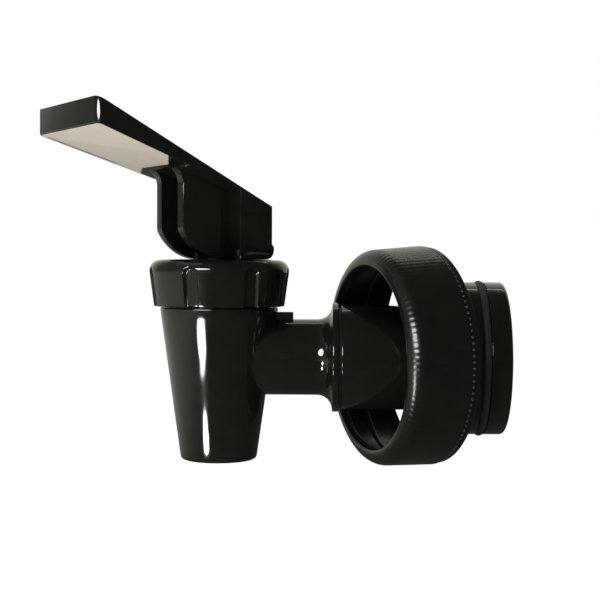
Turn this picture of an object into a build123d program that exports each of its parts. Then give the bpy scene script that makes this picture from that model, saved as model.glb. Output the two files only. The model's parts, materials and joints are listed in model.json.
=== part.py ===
from build123d import *
import os
from math import cos, radians, sin, tan

# Self-closing paddle tap on a plugged neck adaptor with a loose screw collar.
# Millimetres. The origin is the centre of the adaptor's seat face, +X points into the container
# along the shank, +Z is up, and the stem stands upright at x = -reach.

# Reach and fits
reach = 52.5
running_fit = 0.06
press_gap = 0.02
loose_gap = 0.3
cam_gap = 0.12
cut_over = 1.0

# Tap body: a cone with the spout below, a neck above and the shank at its side
body_shoulder_r = 15.25
body_shoulder_z = 12.0
spout_r = 9.8
spout_z = -26.6
spout_edge = 1.1
neck_r = 14.2
neck_top_z = 19.5
chamber_r = 11.2
chamber_floor_r = 9.8
chamber_floor_z = -7.0
floor_t = 2.2
seat_lip_r = 6.9
seat_lip_h = 1.5
outlet_r = 5.5
outlet_mouth_r = 7.7
shank_r = 9.82
shank_bore_r = 4.4
shank_to_flange = 31.1
flange_r = 14.15
flange_t = 1.7
flange_fillet = 3.0
tail_r = 6.5
tail_len = 14.0
tab_len = 19.3
tab_w = 4.0
tab_top_z = 11.7

# Bonnet: a screwed cap with arch-topped finger grooves
bonnet_base_r = 16.9
bonnet_base_z = 13.1
bonnet_top_z = 25.1
bonnet_taper = 7.8
bonnet_edge = 2.8
cup_rim_t = 1.5
spring_pocket_r = 7.2
spring_pocket_h = 1.6
groove_count = 7
groove_w = 4.1
groove_depth = 0.9
groove_top_z = 23.2
groove_phase = -109.0

# Lever: a wedge-shaped paddle, a block heel and a channelled neck, turned about the stem
lever_swivel = 37.8
pin_rise = 11.5
pin_r = 1.5
cam_rate = 3.5
cam_sweep = 61.0
paddle_len = 43.4
top_over_pin = 6.54
wedge_root_t = 0.64
top_slope = 23.66
under_slope = 17.1
tip_w = 32.8
stem_line_w = 22.7
tip_corner = 1.6
heel_len = 9.6
least_corner = 0.3
block_front = 1.1
foot_lip = 0.7
foot_lip_z = 29.2
foot_lip_edge = 2.8
lever_neck_w = 13.2
lever_neck_front = 15.0
neck_flare = 3.2
foot_front_rise = 1.2
neck_sink = 0.5
channel_w = 8.0
channel_back = 4.5
roof_t = 1.75
seam_z = 36.7
seam_h = 0.4
seam_depth = 0.25
seam_front_gap = 1.6
seam_heel_gap = 1.3
pip_w = 1.0
pip_h = 1.8
pip_depth = 0.8
pip_side = 8.0
pip_z = 37.8
label_start = 18.0
label_margin = 0.5
label_t = 0.4
label_gap = 0.05

# Stem, spring and silicone seat cup
stem_r = 3.0
head_r = 3.9
head_w = 7.4
pin_half = 5.4
pin_end_play = 0.18
foot_r = 4.5
foot_h = 2.4
spring_seat_r = 6.0
spring_seat_t = 1.2
spring_r = 5.0
wire_r = 0.55
spring_turns = 7
cup_rim_r = 13.6
cup_top_r = 10.6
cup_wall = 1.3
cup_tip_r = 7.6
cup_floor_t = 2.3
cup_floor_flare = 0.4
cup_boss_top_z = 1.0

# Neck adaptor: a sleeve joined to a plug with a seat flange, with the back nut inside the sleeve
washer_t = 0.6
washer_r = 13.0
sleeve_r = 13.5
sleeve_wall = 2.1
sleeve_face_t = 4.0
seat_flange_r = 24.3
seat_flange_t = 3.0
seat_rim_edge = 0.5
sleeve_foot = 1.0
plug_r = 19.66
plug_len = 21.0
plug_wall = 2.8
plug_chamfer = 1.0
ring_groove_at = 14.7
ring_wire_r = 1.1
ring_proud = 0.4
nut_flats = 19.0
nut_t = 6.0
nut_chamfer = 0.9
nut_washer_t = 1.0
nut_washer_r = 10.4

# Screw collar: a loose ring that leans on the seat flange
collar_len = 17.5
collar_mouth_r = 23.5
collar_lip_t = 2.4
collar_front_r = 27.4
collar_rear_r = 28.4
collar_corner = 3.6
collar_bore_r = 25.6
collar_band = 1.2
collar_band_step = 0.35
collar_lead = 11.47
collar_shift = -5.7
collar_rise = 0.25
collar_yaw = 22.1
collar_pitch = 1.6

# Worked-out sizes
stem_x = -reach
flange_back_x = stem_x + shank_to_flange
flange_front_x = flange_back_x - flange_t
sleeve_front_x = flange_back_x + washer_t
seat_front_x = -seat_flange_t
sleeve_bore_r = sleeve_r - sleeve_wall
sleeve_floor_x = sleeve_front_x + sleeve_face_t
cup_rim_z = neck_top_z + cup_rim_t
seat_z = chamber_floor_z + seat_lip_h
pin_z = bonnet_top_z + pin_rise
foot_z = bonnet_top_z + cam_gap
stem_foot_z = seat_z + cup_floor_t + press_gap
spring_seat_z = cup_boss_top_z + loose_gap
spring_low_z = spring_seat_z + spring_seat_t
spring_high_z = cup_rim_z + spring_pocket_h
bonnet_bore_r = neck_r + loose_gap


def turned(points, axis):
    """Solid of revolution from an outline given as (X, Z) points."""
    outline = make_face(Polyline(*points, close=True))
    return revolve(Plane.XZ * outline, axis)


def along_x(radius, x0, x1):
    """Cylinder on the shank's axis between two X positions."""
    rod = Cylinder(radius, x1 - x0, align=(Align.CENTER, Align.CENTER, Align.MIN))
    return Pos(x0, 0, 0) * Rot(0, 90, 0) * rod


def at_stem(shape):
    """Carries a shape drawn about the Z axis over to the stem."""
    return Pos(stem_x, 0, 0) * shape


def at_lever(shape):
    """Carries a shape drawn with the paddle along -X to the stem, turned by the swivel."""
    return Pos(stem_x, 0, 0) * Rot(0, 0, lever_swivel) * shape


# Tap body
def make_tap_body():
    cone = turned(
        [
            (0, spout_z),
            (spout_r, spout_z),
            (body_shoulder_r, body_shoulder_z),
            (neck_r, body_shoulder_z),
            (neck_r, neck_top_z),
            (0, neck_top_z),
        ],
        Axis.Z,
    )
    cone = fillet(cone.edges().group_by(Axis.Z)[0], spout_edge)
    shank = turned(
        [
            (0, 0),
            (0, shank_r),
            (flange_front_x - stem_x, shank_r),
            (flange_front_x - stem_x, flange_r),
            (shank_to_flange, flange_r),
            (shank_to_flange, tail_r),
            (shank_to_flange + tail_len, tail_r),
            (shank_to_flange + tail_len, 0),
        ],
        Axis.X,
    )
    inner_corner = [
        e for e in shank.edges().filter_by(GeomType.CIRCLE)
        if abs(e.radius - shank_r) < 0.01 and e.center().X > shank_r
    ]
    shank = fillet(inner_corner, flange_fillet)
    tab_h = tab_top_z - shank_r / 2
    tab = Pos(0, 0, tab_top_z) * Box(tab_len, tab_w, tab_h, align=(Align.MIN, Align.CENTER, Align.MAX))
    chamber = turned(
        [
            (0, chamber_floor_z),
            (chamber_floor_r, chamber_floor_z),
            (chamber_r, body_shoulder_z),
            (chamber_r, neck_top_z),
            (0, neck_top_z),
        ],
        Axis.Z,
    )
    lip = Cylinder(seat_lip_r, seat_lip_h, align=(Align.CENTER, Align.CENTER, Align.MIN))
    lip = Pos(0, 0, chamber_floor_z) * lip
    outlet = turned(
        [
            (0, spout_z),
            (outlet_mouth_r, spout_z),
            (outlet_r, chamber_floor_z - floor_t),
            (outlet_r, seat_z),
            (0, seat_z),
        ],
        Axis.Z,
    )
    inlet = along_x(shank_bore_r, 0, shank_to_flange + tail_len)
    return at_stem(cone + shank + tab - (chamber - lip) - inlet - outlet)


# Bonnet
def make_bonnet():
    top_r = bonnet_base_r + (bonnet_top_z - bonnet_base_z) * tan(radians(bonnet_taper))
    cap = turned(
        [(0, bonnet_base_z), (bonnet_base_r, bonnet_base_z), (top_r, bonnet_top_z), (0, bonnet_top_z)],
        Axis.Z,
    )
    cap = fillet(cap.edges().group_by(Axis.Z)[-1], bonnet_edge)
    hollow = turned(
        [
            (0, bonnet_base_z),
            (bonnet_bore_r, bonnet_base_z),
            (bonnet_bore_r, cup_rim_z),
            (spring_pocket_r, cup_rim_z),
            (spring_pocket_r, spring_high_z),
            (stem_r + running_fit, spring_high_z),
            (stem_r + running_fit, bonnet_top_z),
            (0, bonnet_top_z),
        ],
        Axis.Z,
    )
    arch_z = groove_top_z - groove_w / 2
    groove_low_z = bonnet_base_z - cut_over
    arch = Rectangle(groove_w, arch_z - groove_low_z, align=(Align.CENTER, Align.MAX))
    arch += Circle(groove_w / 2)
    floor_r = bonnet_base_r - groove_depth + (arch_z - bonnet_base_z) * tan(radians(bonnet_taper))
    groove = Pos(floor_r, 0, arch_z) * Rot(0, bonnet_taper, 0) * extrude(Plane.YZ * arch, 2 * groove_depth)
    turn = 360 / groove_count
    grooves = [Rot(0, 0, groove_phase + i * turn) * groove for i in range(groove_count)]
    return at_stem(cap - hollow - grooves)


# Lever outline helpers: l runs from the stem towards the paddle's tip
def top_z(l):
    return pin_z + top_over_pin + l * tan(radians(top_slope))


def under_z(l):
    return pin_z + top_over_pin - wedge_root_t + l * tan(radians(under_slope))


def half_w(l):
    return stem_line_w / 2 + l * (tip_w - stem_line_w) / 2 / paddle_len


def side_view(points, width):
    """Plate from an outline in (l, z), centred on the lever's middle plane."""
    outline = make_face(Polyline(*[(-l, z) for l, z in points], close=True))
    return extrude(Plane.XZ * outline, width / 2, both=True)


def plan_prism(inset, front, back):
    """Upright prism of the lever's tapered plan between two lengths, set in from its sides."""
    corners = [
        (-front, half_w(front) - inset),
        (-front, inset - half_w(front)),
        (-back, inset - half_w(back)),
        (-back, half_w(back) - inset),
    ]
    prism = extrude(make_face(Polyline(*corners, close=True)), top_z(paddle_len) + cut_over)
    tip_edges = prism.edges().filter_by(Axis.Z).group_by(Axis.X)[0]
    return fillet(tip_edges, max(tip_corner - inset, least_corner))


def cam_point(angle):
    """Point of the foot that meets the bonnet when the lever has tilted by an angle."""
    drop = pin_rise - cam_gap + cam_rate * angle
    return (drop * sin(angle) + cam_rate * cos(angle), pin_z - drop * cos(angle) + cam_rate * sin(angle))


def make_neck_block():
    """Neck with the rolling foot: the lift grows evenly with the tilt."""
    steps = 8
    last = radians(cam_sweep)
    curve = [cam_point(last * i / steps) for i in range(steps + 1)]
    front = lever_neck_front
    foot = Spline(*[(-l, z) for l, z in curve])
    flare_l = front + neck_flare
    flare_z = under_z(flare_l)
    bend = neck_flare * (1 - cos(radians(45)))
    rise = Polyline(
        (-curve[-1][0], curve[-1][1]),
        (-front, curve[-1][1] + foot_front_rise),
        (-front, flare_z - neck_flare),
    )
    flare = ThreePointArc((-front, flare_z - neck_flare), (-front - bend, flare_z - bend), (-flare_l, flare_z))
    back = Polyline(
        (-flare_l, flare_z),
        (-flare_l, flare_z + neck_sink),
        (0, top_z(0) - neck_sink),
        (0, foot_z),
        (-cam_rate, foot_z),
    )
    return extrude(Plane.XZ * make_face([foot, rise, flare, back]), lever_neck_w / 2, both=True)


def make_lever():
    heel = -heel_len
    block = side_view(
        [
            (paddle_len, top_z(paddle_len)),
            (heel, top_z(heel)),
            (heel, foot_lip_z),
            (heel - foot_lip, foot_lip_z - foot_lip),
            (heel - foot_lip, foot_z),
            (block_front, foot_z),
            (block_front, under_z(block_front)),
            (paddle_len, under_z(paddle_len)),
        ],
        2 * tip_w,
    )
    heel_edge = block.edges().filter_by(Axis.Y).group_by(Axis.Z)[0].sort_by(Axis.X)[-1]
    block = fillet(heel_edge, foot_lip_edge)
    plan = plan_prism(0, paddle_len, heel - foot_lip)
    lever = (block & plan) + make_neck_block()
    channel = side_view(
        [
            (-channel_back, 0),
            (-channel_back, top_z(-channel_back) - roof_t),
            (roof_line_meet(), under_z(roof_line_meet())),
            (paddle_len, under_z(paddle_len)),
            (paddle_len, 0),
        ],
        channel_w,
    )
    sockets = Cylinder(pin_r + running_fit, 2 * (pin_half + pin_end_play))
    sockets = Pos(0, 0, pin_z) * Rot(90, 0, 0) * sockets
    seam_band = Pos(0, 0, seam_z) * Box(4 * heel_len, 2 * tip_w, seam_h)
    seam_end = plan_prism(0, block_front - seam_front_gap, heel + seam_heel_gap)
    seam = seam_band & (seam_end - plan_prism(seam_depth, paddle_len, heel - foot_lip))
    pip = SlotOverall(pip_h, pip_w, rotation=90)
    pips = [
        Pos(-block_front, side * pip_side, pip_z) * extrude(Plane.YZ * pip, pip_depth)
        for side in (1, -1)
    ]
    return lever - channel - sockets - seam - pips - label_layer(label_gap)


def roof_line_meet():
    """Length at which the channel's roof comes out at the paddle's underside."""
    rise = tan(radians(top_slope)) - tan(radians(under_slope))
    return (under_z(0) - top_z(0) + roof_t) / rise


def label_layer(gap):
    """Thin plate let into the paddle's underside, grown by a gap for its recess."""
    front = paddle_len - label_margin + gap
    back = label_start - gap
    slab = side_view(
        [
            (front, under_z(front)),
            (front, under_z(front) + label_t + gap),
            (back, under_z(back) + label_t + gap),
            (back, under_z(back)),
        ],
        2 * tip_w,
    )
    return slab & plan_prism(label_margin - gap, front, back)


# Stem and its pin
def make_stem():
    rod = turned(
        [
            (0, stem_foot_z),
            (foot_r, stem_foot_z),
            (foot_r, stem_foot_z + foot_h),
            (stem_r, stem_foot_z + foot_h),
            (stem_r, spring_seat_z),
            (spring_seat_r, spring_seat_z),
            (spring_seat_r, spring_low_z),
            (stem_r, spring_low_z),
            (stem_r, pin_z),
            (0, pin_z),
        ],
        Axis.Z,
    )
    head = Pos(0, 0, pin_z) * Rot(90, 0, 0) * Cylinder(head_r, head_w)
    eye = Pos(0, 0, pin_z) * Rot(90, 0, 0) * Cylinder(pin_r + press_gap, 2 * head_w)
    return rod + head - eye


def make_hinge_pin():
    return Pos(0, 0, pin_z) * Rot(90, 0, 0) * Cylinder(pin_r, 2 * pin_half)


# Silicone cup: a clamped rim, a thin bell and a thick tip that closes the seat lip
def make_seat_cup():
    boss_r = stem_r + loose_gap
    foot_room = foot_r + press_gap
    foot_top = stem_foot_z + foot_h + press_gap
    bell = turned(
        [
            (0, seat_z),
            (cup_tip_r, seat_z),
            (cup_tip_r, seat_z + cup_floor_t),
            (cup_top_r, neck_top_z),
            (cup_rim_r, neck_top_z),
            (cup_rim_r, cup_rim_z),
            (cup_top_r - cup_wall, cup_rim_z),
            (cup_tip_r - cup_wall + cup_floor_flare, cup_boss_top_z),
            (boss_r, cup_boss_top_z),
            (boss_r, foot_top),
            (foot_room, foot_top),
            (foot_room, stem_foot_z - press_gap),
            (0, stem_foot_z - press_gap),
        ],
        Axis.Z,
    )
    return at_stem(bell)


def make_spring():
    low = spring_low_z + wire_r + press_gap
    height = spring_high_z - wire_r - press_gap - low
    path = Pos(0, 0, low) * Helix(height / spring_turns, height, spring_r)
    wire = Plane(origin=path @ 0, z_dir=path % 0) * Circle(wire_r)
    return at_stem(sweep(wire, path, is_frenet=True))


# Neck adaptor and the pieces that clamp the tap to it
def make_flange_washer():
    hole = along_x(tail_r + loose_gap, flange_back_x, sleeve_front_x)
    return along_x(washer_r, flange_back_x, sleeve_front_x) - hole


def make_adaptor_sleeve():
    back = seat_front_x - press_gap
    return turned(
        [
            (sleeve_front_x, tail_r + loose_gap),
            (sleeve_front_x, sleeve_r),
            (back - sleeve_foot, sleeve_r),
            (back, sleeve_r + sleeve_foot),
            (back, sleeve_bore_r),
            (sleeve_floor_x, sleeve_bore_r),
            (sleeve_floor_x, tail_r + loose_gap),
        ],
        Axis.X,
    )


def make_neck_adaptor():
    groove_r = plug_r + ring_proud - 2 * ring_wire_r
    groove_half = ring_wire_r + press_gap
    shell = turned(
        [
            (seat_front_x, sleeve_bore_r),
            (seat_front_x, seat_flange_r),
            (0, seat_flange_r),
            (0, plug_r),
            (ring_groove_at - groove_half, plug_r),
            (ring_groove_at - groove_half, groove_r),
            (ring_groove_at + groove_half, groove_r),
            (ring_groove_at + groove_half, plug_r),
            (plug_len - plug_chamfer, plug_r),
            (plug_len, plug_r - plug_chamfer),
            (plug_len, plug_r - plug_wall),
            (0, plug_r - plug_wall),
            (0, sleeve_bore_r),
        ],
        Axis.X,
    )
    rim = [e for e in shell.edges().filter_by(GeomType.CIRCLE) if abs(e.radius - seat_flange_r) < 0.01]
    return fillet(rim, seat_rim_edge)


def make_plug_o_ring():
    ring = Torus(plug_r + ring_proud - ring_wire_r, ring_wire_r)
    return Pos(ring_groove_at, 0, 0) * Rot(0, 90, 0) * ring


def make_nut_washer():
    back = sleeve_floor_x + nut_washer_t
    return along_x(nut_washer_r, sleeve_floor_x, back) - along_x(tail_r + loose_gap, sleeve_floor_x, back)


def make_shank_nut():
    front = sleeve_floor_x + nut_washer_t
    hexagon = extrude(Plane.YZ * RegularPolygon(nut_flats / 2, 6, major_radius=False), nut_t)
    chamfer_disc = along_x(nut_flats / 2 + nut_chamfer, 0, nut_t)
    chamfer_disc = chamfer(chamfer_disc.edges().group_by(Axis.X)[-1], nut_chamfer)
    return Pos(front, 0, 0) * (hexagon & chamfer_disc) - along_x(tail_r + press_gap, front, front + nut_t)


# Screw collar, drawn on its own axis with its mouth at x = 0
def make_screw_collar():
    slope = (collar_rear_r - collar_front_r) / collar_len
    band_x = collar_len - collar_band
    ring = turned(
        [
            (0, collar_mouth_r),
            (0, collar_front_r),
            (band_x, collar_front_r + slope * band_x),
            (band_x, collar_front_r + slope * band_x - collar_band_step),
            (collar_len, collar_rear_r - collar_band_step),
            (collar_len, collar_bore_r),
            (collar_lip_t, collar_bore_r),
            (collar_lip_t, collar_mouth_r),
        ],
        Axis.X,
    )
    front_edge = [
        e for e in ring.edges().filter_by(GeomType.CIRCLE)
        if abs(e.radius - collar_front_r) < 0.01 and abs(e.center().X) < 0.01
    ]
    ring = fillet(front_edge, collar_corner)
    return collar_place() * ring


def collar_place():
    """The loose collar's stand: yawed and nosed up, its rear edge leaning on the seat flange."""
    lean = Rot(0, 0, collar_yaw) * Rot(0, -collar_pitch, 0)
    return Pos(seat_front_x - collar_lead, collar_shift, collar_rise) * lean


pieces = {
    "tap_body": make_tap_body(),
    "bonnet": make_bonnet(),
    "lever": at_lever(make_lever()),
    "lever_label": at_lever(label_layer(0)),
    "valve_stem": at_lever(make_stem()),
    "hinge_pin": at_lever(make_hinge_pin()),
    "seat_cup": make_seat_cup(),
    "return_spring": make_spring(),
    "flange_washer": make_flange_washer(),
    "adaptor_sleeve": make_adaptor_sleeve(),
    "neck_adaptor": make_neck_adaptor(),
    "plug_o_ring": make_plug_o_ring(),
    "nut_washer": make_nut_washer(),
    "shank_nut": make_shank_nut(),
    "screw_collar": make_screw_collar(),
}

os.makedirs("parts", exist_ok=True)
for node, shape in pieces.items():
    export_step(shape, f"parts/{node}.step")
    box = shape.bounding_box()
    print(f"{node:14s} volume {shape.volume:9.1f} solids {len(shape.solids())} "
          f"size {box.size.X:6.1f} {box.size.Y:6.1f} {box.size.Z:6.1f}")
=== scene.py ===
# %% [markdown]
# # A refill container tap
# A black self-closing tap on a plug for a container's neck, with a loose screw collar round its sleeve. The
# lesson dresses a finished frame of solids. Each glossy moulding is built again with fine rings and soft
# edges, because a black gloss surface shows every facet, and it then rides on the body that it belongs to.

# %% Load the frame
import json
from math import cos, hypot, pi, radians, sin, tan

import bmesh
import bpy
from mathutils import Matrix, Vector


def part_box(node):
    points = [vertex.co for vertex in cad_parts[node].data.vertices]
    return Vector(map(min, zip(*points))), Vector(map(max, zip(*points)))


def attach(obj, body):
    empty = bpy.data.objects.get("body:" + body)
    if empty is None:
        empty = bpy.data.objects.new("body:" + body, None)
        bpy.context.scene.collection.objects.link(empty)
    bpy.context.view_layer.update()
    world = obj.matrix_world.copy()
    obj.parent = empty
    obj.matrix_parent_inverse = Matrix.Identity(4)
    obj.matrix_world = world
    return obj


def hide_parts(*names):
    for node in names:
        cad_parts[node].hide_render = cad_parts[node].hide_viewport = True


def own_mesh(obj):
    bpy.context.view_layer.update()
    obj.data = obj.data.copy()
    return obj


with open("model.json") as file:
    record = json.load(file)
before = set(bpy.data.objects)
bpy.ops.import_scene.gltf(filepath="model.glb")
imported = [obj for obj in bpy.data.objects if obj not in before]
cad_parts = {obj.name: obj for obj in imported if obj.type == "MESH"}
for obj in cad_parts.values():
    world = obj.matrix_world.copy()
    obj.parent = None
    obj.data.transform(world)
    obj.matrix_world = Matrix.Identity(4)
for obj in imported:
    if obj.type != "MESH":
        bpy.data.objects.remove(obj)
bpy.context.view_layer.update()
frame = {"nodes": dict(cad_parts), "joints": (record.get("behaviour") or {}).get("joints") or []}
MM = 0.001
print("frame:", sorted(frame["nodes"]))

# %% [markdown]
# ## Where things are
# The joints of the frame say where the stem stands, which way the lever points and how the collar leans.
# Local frames come from them, so that a piece can be drawn straight and set down where it belongs. In each
# of them X is the piece's own axis.

# %% Local frames
joints = {j["name"]: j for j in frame["joints"]}
pin_place = Vector(joints["lever_tilt"]["pos_m"]) / MM
stem_x = pin_place.x
pin_z = pin_place.z
paddle_way = Vector(joints["lever_tilt"]["axis"]).cross(Vector((0, 0, 1)))


def local_frame(origin, along, up):
    """Matrix, in metres, that sets down a piece drawn in millimetres with X along its axis."""
    x = Vector(along).normalized()
    y = Vector(up).cross(x).normalized()
    turn = Matrix((x, y, x.cross(y))).transposed().to_4x4()
    return Matrix.Scale(MM, 4) @ Matrix.Translation(origin) @ turn


shank_frame = local_frame((0, 0, 0), (1, 0, 0), (0, 0, 1))
stem_frame = local_frame((stem_x, 0, 0), (0, 0, 1), (1, 0, 0))
lever_frame = local_frame((stem_x, 0, 0), paddle_way, (0, 0, 1))
pin_frame = local_frame(pin_place, joints["lever_tilt"]["axis"], (0, 0, 1))
collar_mouth = Vector(joints["collar_turn"]["pos_m"]) / MM
collar_frame = local_frame(collar_mouth, joints["collar_turn"]["axis"], (0, 0, 1))
print(f"stem at x {stem_x:.1f} mm, lever towards {tuple(round(c, 3) for c in paddle_way)}")

# %% [markdown]
# ## Turned outlines
# Most of the tap was moulded in round cavities, so an outline that is swept about an axis gives the true
# form. A list of corners, each with its own rounding, keeps an outline as short as a drawing of it. Long
# straight runs are divided so that cuts through them stay tidy.

# %% Outline helpers
ARC_STEPS = 6
ROUND_UP = 0.999


def soften(corners):
    """Closed outline from (along, radius, rounding) corners."""
    outline = []
    for i, (along, radius, rounding) in enumerate(corners):
        corner = Vector((along, radius))
        if rounding == 0:
            outline.append(corner)
            continue
        back = (Vector(corners[i - 1][:2]) - corner).normalized()
        ahead = (Vector(corners[(i + 1) % len(corners)][:2]) - corner).normalized()
        half = back.angle(ahead) / 2
        centre = corner + (back + ahead).normalized() * rounding / sin(half)
        first = (corner + back * rounding / tan(half) - centre).normalized()
        last = (corner + ahead * rounding / tan(half) - centre).normalized()
        for k in range(ARC_STEPS + 1):
            outline.append(centre + rounding * first.slerp(last, k / ARC_STEPS))
    return outline


def divide(outline, longest):
    """The same outline with points added so that no run is longer than a length."""
    points = []
    for i, here in enumerate(outline):
        ahead = outline[(i + 1) % len(outline)]
        parts = max(1, int((ahead - here).length / longest + ROUND_UP))
        points += [here.lerp(ahead, k / parts) for k in range(parts)]
    return points


print("outline helpers: soften, divide")

# %% Solids from outlines and rings
TURN_STEPS = 192
ON_AXIS = 1e-6
SAME_POINT = 1e-7


def link(obj):
    bpy.context.scene.collection.objects.link(obj)
    return obj


def outward(obj):
    """Turns every face to look outwards."""
    bm = bmesh.new()
    bm.from_mesh(obj.data)
    bmesh.ops.remove_doubles(bm, verts=bm.verts, dist=SAME_POINT)
    bmesh.ops.recalc_face_normals(bm, faces=bm.faces)
    bm.to_mesh(obj.data)
    bm.free()
    return obj


def listed_piece(name, vertices, faces):
    """Object from lists of points and faces."""
    mesh = bpy.data.meshes.new(name)
    mesh.from_pydata(vertices, [], faces)
    return outward(link(bpy.data.objects.new(name, mesh)))


def drawn_piece(name, bm, place=Matrix.Identity(4)):
    """Object from a bmesh that was drawn in a local frame."""
    bm.transform(place)
    mesh = bpy.data.meshes.new(name)
    bm.to_mesh(mesh)
    bm.free()
    return link(bpy.data.objects.new(name, mesh))


def turned(name, outline, place, steps=TURN_STEPS, shrink=None):
    """Solid of revolution of a closed outline about the local X axis.
    shrink(along, radius, angle) says how far a point is let in, for grooves and ribs."""
    vertices, rings, faces = [], [], []
    for along, radius in outline:
        turns = steps if radius > ON_AXIS else 1
        rings.append([len(vertices) + k % turns for k in range(steps)])
        for k in range(turns):
            angle = 2 * pi * k / steps
            r = radius - (shrink(along, radius, angle) if shrink else 0)
            vertices.append(place @ Vector((along, -r * sin(angle), r * cos(angle))))
    for i, ring in enumerate(rings):
        ahead = rings[(i + 1) % len(rings)]
        for k in range(steps):
            n = (k + 1) % steps
            corners = list(dict.fromkeys((ring[k], ring[n], ahead[n], ahead[k])))
            if len(corners) > 2:
                faces.append(corners)
    return listed_piece(name, vertices, faces)


def swept(name, rings):
    """Solid from rings of points, one after another along a path, with closed ends."""
    sides = len(rings[0])
    last = sides * (len(rings) - 1)
    faces = []
    for start in range(0, last, sides):
        for c in range(sides):
            n = (c + 1) % sides
            faces.append((start + c, start + n, start + sides + n, start + sides + c))
    faces += [tuple(range(sides)), tuple(last + c for c in range(sides))]
    return listed_piece(name, [point for ring in rings for point in ring], faces)


print("solid helpers: listed_piece, drawn_piece, turned, swept")

# %% [markdown]
# ## Joining, cutting and dressing
# Forms that cross are joined or cut with booleans, as a tool maker cuts a mould. They leave slivers where two
# curved faces nearly touch, so the body with the most cuts is welded and its small holes are closed. At the
# end each piece gets its shading, its finish and the body that it moves with.

# %% Joining and dressing
WELD = 0.01 * MM
CLEAN_ROUNDS = 2
HOLE_SIDES = 8


def combine(obj, other, operation):
    """Joins another solid to a solid, or cuts it away, and uses it up."""
    step = obj.modifiers.new("combine", "BOOLEAN")
    step.operation = operation
    step.solver = "EXACT"
    step.object = other
    bpy.context.view_layer.objects.active = obj
    bpy.ops.object.modifier_apply(modifier=step.name)
    bpy.data.objects.remove(other)
    return obj


def clean(obj):
    """Welds the slivers that cuts leave, splits many-sided faces and closes small holes."""
    bm = bmesh.new()
    bm.from_mesh(obj.data)
    for _ in range(CLEAN_ROUNDS):
        bmesh.ops.remove_doubles(bm, verts=bm.verts, dist=WELD)
        bmesh.ops.dissolve_degenerate(bm, edges=bm.edges, dist=WELD)
        many = [f for f in bm.faces if len(f.verts) > 4]
        bmesh.ops.triangulate(bm, faces=many, ngon_method="BEAUTY")
    rims = [e for e in bm.edges if e.is_boundary]
    print(f"{obj.name}: {len(rims)} open edges to close")
    filled = bmesh.ops.holes_fill(bm, edges=rims, sides=HOLE_SIDES)["faces"]
    bmesh.ops.triangulate(bm, faces=filled)
    bm.to_mesh(obj.data)
    bm.free()
    return obj


def dress(obj, body, slot, finish, *nodes, sharp=32):
    """Shades a piece, gives it its finish and sets it on its body."""
    obj.data.shade_smooth()
    obj.data.set_sharp_from_angle(angle=radians(sharp))
    obj.data.materials.clear()
    obj.data.materials.append(finish)
    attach(obj, body)
    if nodes:
        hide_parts(*nodes)
    print(f"{obj.name}: {len(obj.data.polygons)} faces on {body}")
    return obj


print("piece helpers: combine, clean, dress")

# %% [markdown]
# ## Shared surface effects
# Every moulding has the same small faults: a skin that isn't quite even, and dust that settles on it. Each
# fault is a node group, built once and placed in several materials with other values. The groups give out
# masks and heights only; the shader itself stays in the material.

# %% Node groups
def node(tree, kind, **values):
    """New node with its settings and the plain values of its inputs."""
    made = tree.nodes.new(kind)
    for key, value in values.items():
        if key in made.inputs.keys():
            made.inputs[key].default_value = value
        else:
            setattr(made, key, value)
    return made


def new_group(name, inputs, outputs):
    tree = bpy.data.node_groups.new(name, "ShaderNodeTree")
    for socket, default in inputs.items():
        made = tree.interface.new_socket(socket, in_out="INPUT", socket_type="NodeSocketFloat")
        made.default_value = default
    for socket in outputs:
        tree.interface.new_socket(socket, in_out="OUTPUT", socket_type="NodeSocketFloat")
    return tree, tree.nodes.new("NodeGroupInput"), tree.nodes.new("NodeGroupOutput")


def make_skin_group():
    """Mould skin: a slow waviness for the height and a finer cloudiness for the gloss."""
    tree, given, out = new_group("mould_skin", {"Wave size": 90.0, "Cloud size": 260.0}, ("Wave", "Cloud"))
    place = node(tree, "ShaderNodeTexCoord")
    wave = node(tree, "ShaderNodeTexNoise", Detail=1.0)
    cloud = node(tree, "ShaderNodeTexNoise", Detail=5.0, Roughness=0.6)
    for texture, size in ((wave, "Wave size"), (cloud, "Cloud size")):
        tree.links.new(place.outputs["Object"], texture.inputs["Vector"])
        tree.links.new(given.outputs[size], texture.inputs["Scale"])
    tree.links.new(wave.outputs["Fac"], out.inputs["Wave"])
    tree.links.new(cloud.outputs["Fac"], out.inputs["Cloud"])
    return tree


def make_dust_group():
    """Dust: a few pale specks, each a small round cell that only some of the grid holds."""
    tree, given, out = new_group("dust_specks", {"Grid": 420.0, "Speck": 0.1, "Share": 0.03}, ("Dust",))
    place = node(tree, "ShaderNodeTexCoord")
    cells = node(tree, "ShaderNodeTexVoronoi", Randomness=1.0)
    near = node(tree, "ShaderNodeMath", operation="LESS_THAN")
    pick = node(tree, "ShaderNodeSeparateColor")
    kept = node(tree, "ShaderNodeMath", operation="LESS_THAN")
    both = node(tree, "ShaderNodeMath", operation="MULTIPLY")
    tree.links.new(place.outputs["Object"], cells.inputs["Vector"])
    tree.links.new(given.outputs["Grid"], cells.inputs["Scale"])
    tree.links.new(cells.outputs["Distance"], near.inputs[0])
    tree.links.new(given.outputs["Speck"], near.inputs[1])
    tree.links.new(cells.outputs["Color"], pick.inputs[0])
    tree.links.new(pick.outputs[0], kept.inputs[0])
    tree.links.new(given.outputs["Share"], kept.inputs[1])
    tree.links.new(near.outputs[0], both.inputs[0])
    tree.links.new(kept.outputs[0], both.inputs[1])
    tree.links.new(both.outputs[0], out.inputs["Dust"])
    return tree


mould_skin = make_skin_group()
dust_specks = make_dust_group()
print("groups:", mould_skin.name, dust_specks.name)

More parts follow.
